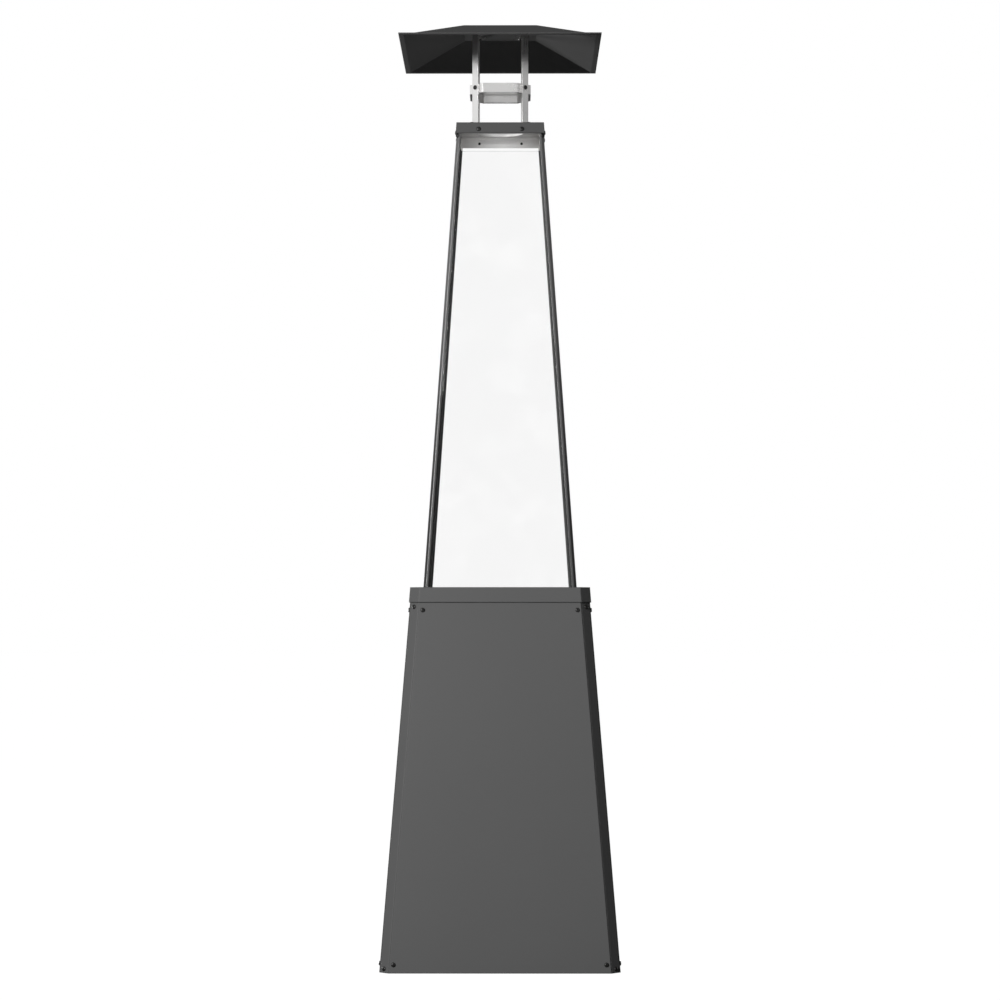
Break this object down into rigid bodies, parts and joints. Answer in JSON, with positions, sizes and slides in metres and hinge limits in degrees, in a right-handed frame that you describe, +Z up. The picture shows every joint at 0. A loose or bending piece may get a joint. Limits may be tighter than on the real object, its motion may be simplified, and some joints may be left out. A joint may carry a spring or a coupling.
{
  "type": "outdoor heater",
  "caption": "Free-standing pyramid gas patio heater with a tapered cabinet, glazed flame tower, square cap, flat bars with a ring band, and a square pyramid hood.",
  "frame": {"origin": "on the ground under the middle of the cabinet", "axes": "+Z up the tower; -Y is the plain front; the service door and the controls face +Y"},
  "size_m": [0.568, 0.568, 2.27],
  "materials": {
    "charcoal_coat": "satin powder coat, charcoal",
    "coated_steel": "matt black coat over folded steel",
    "stainless": "bright brushed stainless steel",
    "clear_glass": "clear tempered glass",
    "rubber": "moulded rubber",
    "black_plastic": "moulded heat-resistant plastic",
    "button_plastic": "moulded plastic",
    "dial_metal": "brushed plate without print",
    "brass": "turned brass",
    "cast_alloy": "die-cast body",
    "aluminium_pipe": "drawn pipe",
    "copper_lead": "copper capillary with a steel tip",
    "ceramic_white": "glazed sleeve",
    "dark_screws": "blackened pan heads"
  },
  "bodies": {
    "heater": {"base_tray": "coated_steel", "foot_pads": "rubber", "bottle_hoop": "coated_steel", "cabinet_post_front_right": "charcoal_coat", "cabinet_post_rear_right": "charcoal_coat", "cabinet_post_rear_left": "charcoal_coat", "cabinet_post_front_left": "charcoal_coat", "front_panel": "charcoal_coat", "right_panel": "charcoal_coat", "left_panel": "charcoal_coat", "rear_sill": "charcoal_coat", "control_panel": "charcoal_coat", "hinge_frame_leaves": "charcoal_coat", "hinge_pins": "stainless", "burner_deck": "coated_steel", "collar": "charcoal_coat", "burner_dish": "stainless", "burner_head": "stainless", "venturi_tube": "stainless", "gas_injector": "brass", "pilot_bracket": "stainless", "pilot_burner": "stainless", "gas_valve": "cast_alloy", "dial_plate": "dial_metal", "piezo_igniter": "black_plastic", "gas_inlet": "brass", "burner_pipe": "aluminium_pipe", "pilot_pipe": "aluminium_pipe", "thermocouple": "copper_lead", "spark_electrode": "ceramic_white", "tilt_switch": "black_plastic", "tower_post_front_right": "stainless", "tower_post_rear_right": "stainless", "tower_post_rear_left": "stainless", "tower_post_front_left": "stainless", "pane_seat": "coated_steel", "glass_pane_front": "clear_glass", "glass_pane_right": "clear_glass", "glass_pane_rear": "clear_glass", "glass_pane_left": "clear_glass", "pane_retainers": "stainless", "top_frame": "stainless", "top_cap": "charcoal_coat", "hood_bars": "stainless", "ring_band": "stainless", "hood_shell": "charcoal_coat", "cabinet_screws": "dark_screws", "tower_screws": "dark_screws", "hood_screws": "dark_screws"},
    "door": {"service_door": "charcoal_coat", "hinge_door_leaves": "charcoal_coat", "latch_bush": "black_plastic"},
    "latch": {"latch_knob": "black_plastic", "latch_cam": "coated_steel"},
    "spindle": {"valve_spindle": "brass"},
    "knob": {"control_knob": "black_plastic"},
    "button": {"igniter_button": "button_plastic"}
  },
  "joints": [
    {"name": "door_hinge", "type": "hinge", "parent": "heater", "child": "door", "pos_m": [-0.20753, 0.25482, 0.40034], "axis": [0.0787, -0.0787, 0.9938], "range_deg": [0, 110]},
    {"name": "latch_turn", "type": "hinge", "parent": "door", "child": "latch", "pos_m": [0.16453, 0.25053, 0.4], "axis": [0, 0.9969, 0.0789], "range_deg": [0, 90]},
    {"name": "spindle_push", "type": "slide", "parent": "heater", "child": "spindle", "axis": [0, -0.9969, -0.0789], "range_m": [0, 0.005], "stiffness_N_per_m": 900, "springref_m": -0.003},
    {"name": "knob_turn", "type": "hinge", "parent": "spindle", "child": "knob", "pos_m": [-0.055, 0.23959, 0.79158], "axis": [0, 0.9969, 0.0789], "range_deg": [0, 225]},
    {"name": "igniter_push", "type": "slide", "parent": "heater", "child": "button", "axis": [0, -0.9969, -0.0789], "range_m": [0, 0.006], "stiffness_N_per_m": 600, "springref_m": -0.003}
  ]
}
